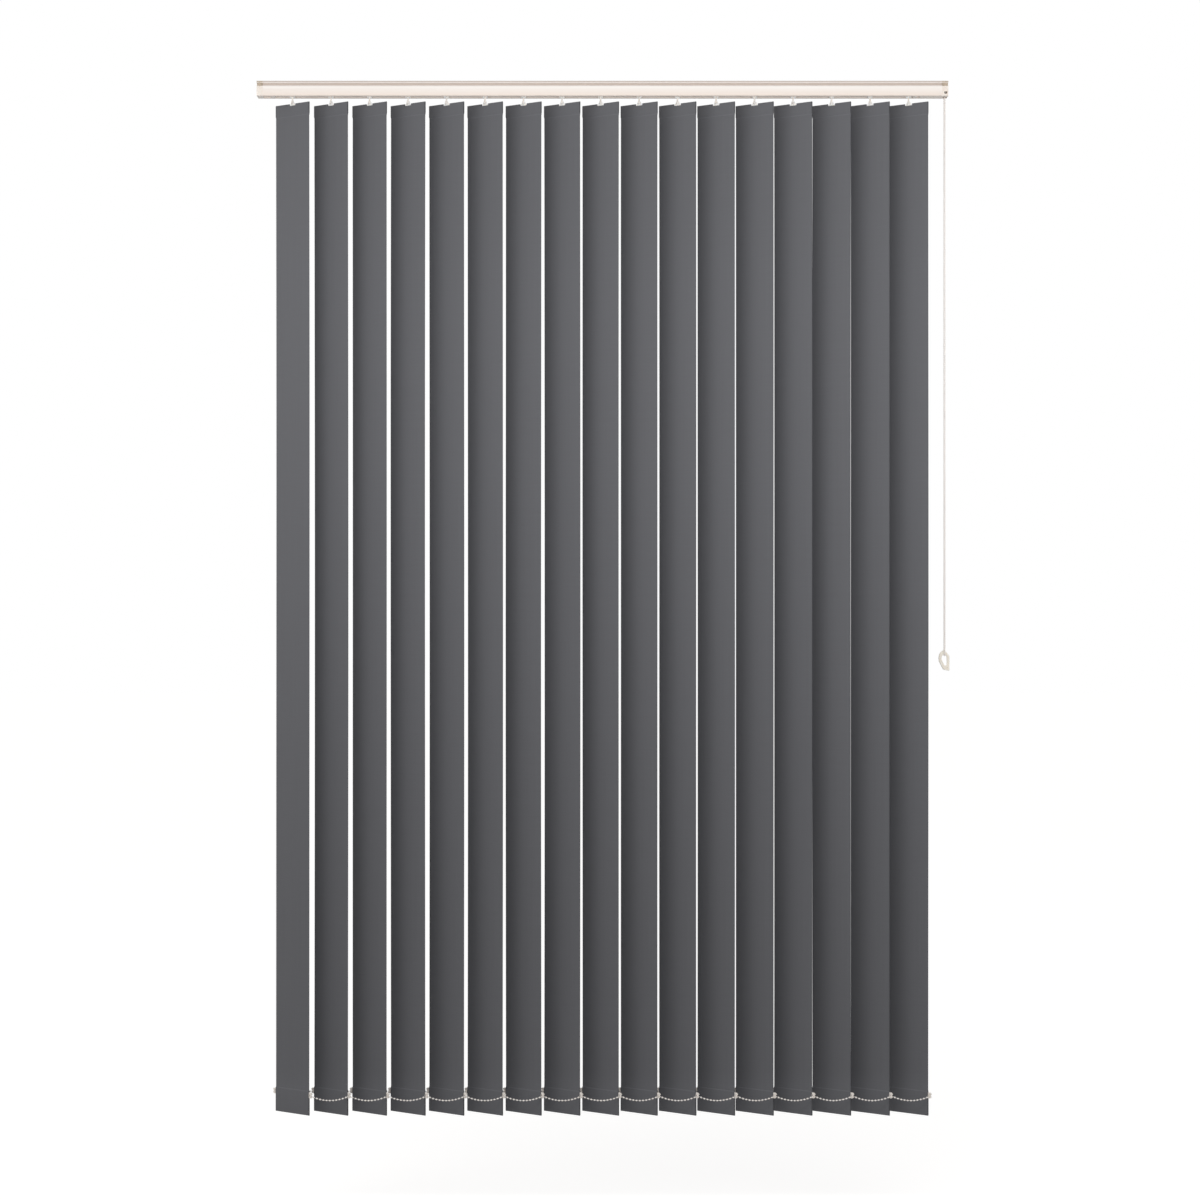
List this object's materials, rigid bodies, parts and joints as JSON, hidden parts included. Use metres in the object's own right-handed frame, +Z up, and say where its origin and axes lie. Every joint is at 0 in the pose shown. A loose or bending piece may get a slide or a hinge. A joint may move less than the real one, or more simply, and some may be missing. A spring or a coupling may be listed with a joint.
{
  "type": "vertical blind",
  "caption": "Vertical blind: headrail with sliding carriers, turning fabric slats on hooks, weighted hems linked by bead chains, and a control chain.",
  "frame": {"origin": "middle of the line between the two ceiling screw holes, on the brackets' top faces, over the hook of the middle slat", "axes": "+X along the rail towards the control chain, +Y towards the window, +Z up; -Y faces the room"},
  "size_m": [1.3842, 0.0642, 2.0635],
  "materials": {
    "rail_coat": "satin powder coat, warm white",
    "cap_plastic": "moulded, warm white",
    "carrier_plastic": "moulded, white",
    "hook_plastic": "moulded, white",
    "chain_plastic": "moulded, cream",
    "rod_aluminium": "drawn",
    "bracket_steel": "zinc plated",
    "slat_fabric": "plain weave, anthracite, stiffened"
  },
  "bodies": {
    "headrail": {"headrail": "rail_coat", "end_cap": "cap_plastic", "control_housing": "cap_plastic", "mounting_brackets": "bracket_steel", "carrier_17": "carrier_plastic", "control_chain": "chain_plastic", "chain_guide": "cap_plastic"},
    "tilt_rod": {"tilt_rod": "rod_aluminium"},
    "carrier_01": {"carrier_01": "carrier_plastic"},
    "carrier_02": {"carrier_02": "carrier_plastic"},
    "carrier_03": {"carrier_03": "carrier_plastic"},
    "carrier_04": {"carrier_04": "carrier_plastic"},
    "carrier_05": {"carrier_05": "carrier_plastic"},
    "carrier_06": {"carrier_06": "carrier_plastic"},
    "carrier_07": {"carrier_07": "carrier_plastic"},
    "carrier_08": {"carrier_08": "carrier_plastic"},
    "carrier_09": {"carrier_09": "carrier_plastic"},
    "carrier_10": {"carrier_10": "carrier_plastic"},
    "carrier_11": {"carrier_11": "carrier_plastic"},
    "carrier_12": {"carrier_12": "carrier_plastic"},
    "carrier_13": {"carrier_13": "carrier_plastic"},
    "carrier_14": {"carrier_14": "carrier_plastic"},
    "carrier_15": {"carrier_15": "carrier_plastic"},
    "carrier_16": {"carrier_16": "carrier_plastic"},
    "slat_01": {"hook_01": "hook_plastic", "slat_01": "slat_fabric"},
    "slat_02": {"hook_02": "hook_plastic", "slat_02": "slat_fabric"},
    "slat_03": {"hook_03": "hook_plastic", "slat_03": "slat_fabric"},
    "slat_04": {"hook_04": "hook_plastic", "slat_04": "slat_fabric"},
    "slat_05": {"hook_05": "hook_plastic", "slat_05": "slat_fabric"},
    "slat_06": {"hook_06": "hook_plastic", "slat_06": "slat_fabric"},
    "slat_07": {"hook_07": "hook_plastic", "slat_07": "slat_fabric"},
    "slat_08": {"hook_08": "hook_plastic", "slat_08": "slat_fabric"},
    "slat_09": {"hook_09": "hook_plastic", "slat_09": "slat_fabric"},
    "slat_10": {"hook_10": "hook_plastic", "slat_10": "slat_fabric"},
    "slat_11": {"hook_11": "hook_plastic", "slat_11": "slat_fabric"},
    "slat_12": {"hook_12": "hook_plastic", "slat_12": "slat_fabric"},
    "slat_13": {"hook_13": "hook_plastic", "slat_13": "slat_fabric"},
    "slat_14": {"hook_14": "hook_plastic", "slat_14": "slat_fabric"},
    "slat_15": {"hook_15": "hook_plastic", "slat_15": "slat_fabric"},
    "slat_16": {"hook_16": "hook_plastic", "slat_16": "slat_fabric"},
    "slat_17": {"hook_17": "hook_plastic", "slat_17": "slat_fabric"},
    "bottom_chain_front": {"bottom_chain_front": "chain_plastic"},
    "bottom_chain_rear": {"bottom_chain_rear": "chain_plastic"}
  },
  "joints": [
    {"name": "traverse", "type": "slide", "parent": "headrail", "child": "carrier_01", "axis": [1, 0, 0], "range_m": [0, 1], "deforming": ["bottom_chain_front", "bottom_chain_rear"]},
    {"name": "carrier_02_slide", "type": "slide", "parent": "headrail", "child": "carrier_02", "axis": [1, 0, 0], "range_m": [0, 0.9375]},
    {"name": "carrier_03_slide", "type": "slide", "parent": "headrail", "child": "carrier_03", "axis": [1, 0, 0], "range_m": [0, 0.875]},
    {"name": "carrier_04_slide", "type": "slide", "parent": "headrail", "child": "carrier_04", "axis": [1, 0, 0], "range_m": [0, 0.8125]},
    {"name": "carrier_05_slide", "type": "slide", "parent": "headrail", "child": "carrier_05", "axis": [1, 0, 0], "range_m": [0, 0.75]},
    {"name": "carrier_06_slide", "type": "slide", "parent": "headrail", "child": "carrier_06", "axis": [1, 0, 0], "range_m": [0, 0.6875]},
    {"name": "carrier_07_slide", "type": "slide", "parent": "headrail", "child": "carrier_07", "axis": [1, 0, 0], "range_m": [0, 0.625]},
    {"name": "carrier_08_slide", "type": "slide", "parent": "headrail", "child": "carrier_08", "axis": [1, 0, 0], "range_m": [0, 0.5625]},
    {"name": "carrier_09_slide", "type": "slide", "parent": "headrail", "child": "carrier_09", "axis": [1, 0, 0], "range_m": [0, 0.5]},
    {"name": "carrier_10_slide", "type": "slide", "parent": "headrail", "child": "carrier_10", "axis": [1, 0, 0], "range_m": [0, 0.4375]},
    {"name": "carrier_11_slide", "type": "slide", "parent": "headrail", "child": "carrier_11", "axis": [1, 0, 0], "range_m": [0, 0.375]},
    {"name": "carrier_12_slide", "type": "slide", "parent": "headrail", "child": "carrier_12", "axis": [1, 0, 0], "range_m": [0, 0.3125]},
    {"name": "carrier_13_slide", "type": "slide", "parent": "headrail", "child": "carrier_13", "axis": [1, 0, 0], "range_m": [0, 0.25]},
    {"name": "carrier_14_slide", "type": "slide", "parent": "headrail", "child": "carrier_14", "axis": [1, 0, 0], "range_m": [0, 0.1875]},
    {"name": "carrier_15_slide", "type": "slide", "parent": "headrail", "child": "carrier_15", "axis": [1, 0, 0], "range_m": [0, 0.125]},
    {"name": "carrier_16_slide", "type": "slide", "parent": "headrail", "child": "carrier_16", "axis": [1, 0, 0], "range_m": [0, 0.0625]},
    {"name": "tilt", "type": "hinge", "parent": "headrail", "child": "slat_17", "pos_m": [0.616, 0, 0], "axis": [0, 0, -1], "range_deg": [-21, 129]},
    {"name": "slat_16_turn", "type": "hinge", "parent": "carrier_16", "child": "slat_16", "pos_m": [0.539, 0, 0], "axis": [0, 0, -1], "range_deg": [-21, 129]},
    {"name": "slat_15_turn", "type": "hinge", "parent": "carrier_15", "child": "slat_15", "pos_m": [0.462, 0, 0], "axis": [0, 0, -1], "range_deg": [-21, 129]},
    {"name": "slat_14_turn", "type": "hinge", "parent": "carrier_14", "child": "slat_14", "pos_m": [0.385, 0, 0], "axis": [0, 0, -1], "range_deg": [-21, 129]},
    {"name": "slat_13_turn", "type": "hinge", "parent": "carrier_13", "child": "slat_13", "pos_m": [0.308, 0, 0], "axis": [0, 0, -1], "range_deg": [-21, 129]},
    {"name": "slat_12_turn", "type": "hinge", "parent": "carrier_12", "child": "slat_12", "pos_m": [0.231, 0, 0], "axis": [0, 0, -1], "range_deg": [-21, 129]},
    {"name": "slat_11_turn", "type": "hinge", "parent": "carrier_11", "child": "slat_11", "pos_m": [0.154, 0, 0], "axis": [0, 0, -1], "range_deg": [-21, 129]},
    {"name": "slat_10_turn", "type": "hinge", "parent": "carrier_10", "child": "slat_10", "pos_m": [0.077, 0, 0], "axis": [0, 0, -1], "range_deg": [-21, 129]},
    {"name": "slat_09_turn", "type": "hinge", "parent": "carrier_09", "child": "slat_09", "pos_m": [0, 0, 0], "axis": [0, 0, -1], "range_deg": [-21, 129]},
    {"name": "slat_08_turn", "type": "hinge", "parent": "carrier_08", "child": "slat_08", "pos_m": [-0.077, 0, 0], "axis": [0, 0, -1], "range_deg": [-21, 129]},
    {"name": "slat_07_turn", "type": "hinge", "parent": "carrier_07", "child": "slat_07", "pos_m": [-0.154, 0, 0], "axis": [0, 0, -1], "range_deg": [-21, 129]},
    {"name": "slat_06_turn", "type": "hinge", "parent": "carrier_06", "child": "slat_06", "pos_m": [-0.231, 0, 0], "axis": [0, 0, -1], "range_deg": [-21, 129]},
    {"name": "slat_05_turn", "type": "hinge", "parent": "carrier_05", "child": "slat_05", "pos_m": [-0.308, 0, 0], "axis": [0, 0, -1], "range_deg": [-21, 129]},
    {"name": "slat_04_turn", "type": "hinge", "parent": "carrier_04", "child": "slat_04", "pos_m": [-0.385, 0, 0], "axis": [0, 0, -1], "range_deg": [-21, 129]},
    {"name": "slat_03_turn", "type": "hinge", "parent": "carrier_03", "child": "slat_03", "pos_m": [-0.462, 0, 0], "axis": [0, 0, -1], "range_deg": [-21, 129]},
    {"name": "slat_02_turn", "type": "hinge", "parent": "carrier_02", "child": "slat_02", "pos_m": [-0.539, 0, 0], "axis": [0, 0, -1], "range_deg": [-21, 129]},
    {"name": "slat_01_turn", "type": "hinge", "parent": "carrier_01", "child": "slat_01", "pos_m": [-0.616, 0, 0], "axis": [0, 0, -1], "range_deg": [-21, 129]},
    {"name": "rod_spin", "type": "hinge", "parent": "headrail", "child": "tilt_rod", "pos_m": [0, 0.006, -0.016], "axis": [1, 0, 0], "range_deg": [-84, 516]},
    {"name": "front_chain_swing", "type": "hinge", "parent": "slat_17", "child": "bottom_chain_front", "pos_m": [0.65532, -0.02857, 0], "axis": [0, 0, -1], "range_deg": [-129, 21]},
    {"name": "rear_chain_swing", "type": "hinge", "parent": "slat_17", "child": "bottom_chain_rear", "pos_m": [0.57668, 0.02857, 0], "axis": [0, 0, -1], "range_deg": [-129, 21]}
  ],
  "couplings": [
    {"joint": "carrier_02_slide", "follows": "traverse", "ratio": 0.9375},
    {"joint": "carrier_03_slide", "follows": "traverse", "ratio": 0.875},
    {"joint": "carrier_04_slide", "follows": "traverse", "ratio": 0.8125},
    {"joint": "carrier_05_slide", "follows": "traverse", "ratio": 0.75},
    {"joint": "carrier_06_slide", "follows": "traverse", "ratio": 0.6875},
    {"joint": "carrier_07_slide", "follows": "traverse", "ratio": 0.625},
    {"joint": "carrier_08_slide", "follows": "traverse", "ratio": 0.5625},
    {"joint": "carrier_09_slide", "follows": "traverse", "ratio": 0.5},
    {"joint": "carrier_10_slide", "follows": "traverse", "ratio": 0.4375},
    {"joint": "carrier_11_slide", "follows": "traverse", "ratio": 0.375},
    {"joint": "carrier_12_slide", "follows": "traverse", "ratio": 0.3125},
    {"joint": "carrier_13_slide", "follows": "traverse", "ratio": 0.25},
    {"joint": "carrier_14_slide", "follows": "traverse", "ratio": 0.1875},
    {"joint": "carrier_15_slide", "follows": "traverse", "ratio": 0.125},
    {"joint": "carrier_16_slide", "follows": "traverse", "ratio": 0.0625},
    {"joint": "slat_16_turn", "follows": "tilt", "ratio": 1},
    {"joint": "slat_15_turn", "follows": "tilt", "ratio": 1},
    {"joint": "slat_14_turn", "follows": "tilt", "ratio": 1},
    {"joint": "slat_13_turn", "follows": "tilt", "ratio": 1},
    {"joint": "slat_12_turn", "follows": "tilt", "ratio": 1},
    {"joint": "slat_11_turn", "follows": "tilt", "ratio": 1},
    {"joint": "slat_10_turn", "follows": "tilt", "ratio": 1},
    {"joint": "slat_09_turn", "follows": "tilt", "ratio": 1},
    {"joint": "slat_08_turn", "follows": "tilt", "ratio": 1},
    {"joint": "slat_07_turn", "follows": "tilt", "ratio": 1},
    {"joint": "slat_06_turn", "follows": "tilt", "ratio": 1},
    {"joint": "slat_05_turn", "follows": "tilt", "ratio": 1},
    {"joint": "slat_04_turn", "follows": "tilt", "ratio": 1},
    {"joint": "slat_03_turn", "follows": "tilt", "ratio": 1},
    {"joint": "slat_02_turn", "follows": "tilt", "ratio": 1},
    {"joint": "slat_01_turn", "follows": "tilt", "ratio": 1},
    {"joint": "rod_spin", "follows": "tilt", "ratio": 4},
    {"joint": "front_chain_swing", "follows": "tilt", "ratio": -1},
    {"joint": "rear_chain_swing", "follows": "tilt", "ratio": -1}
  ]
}
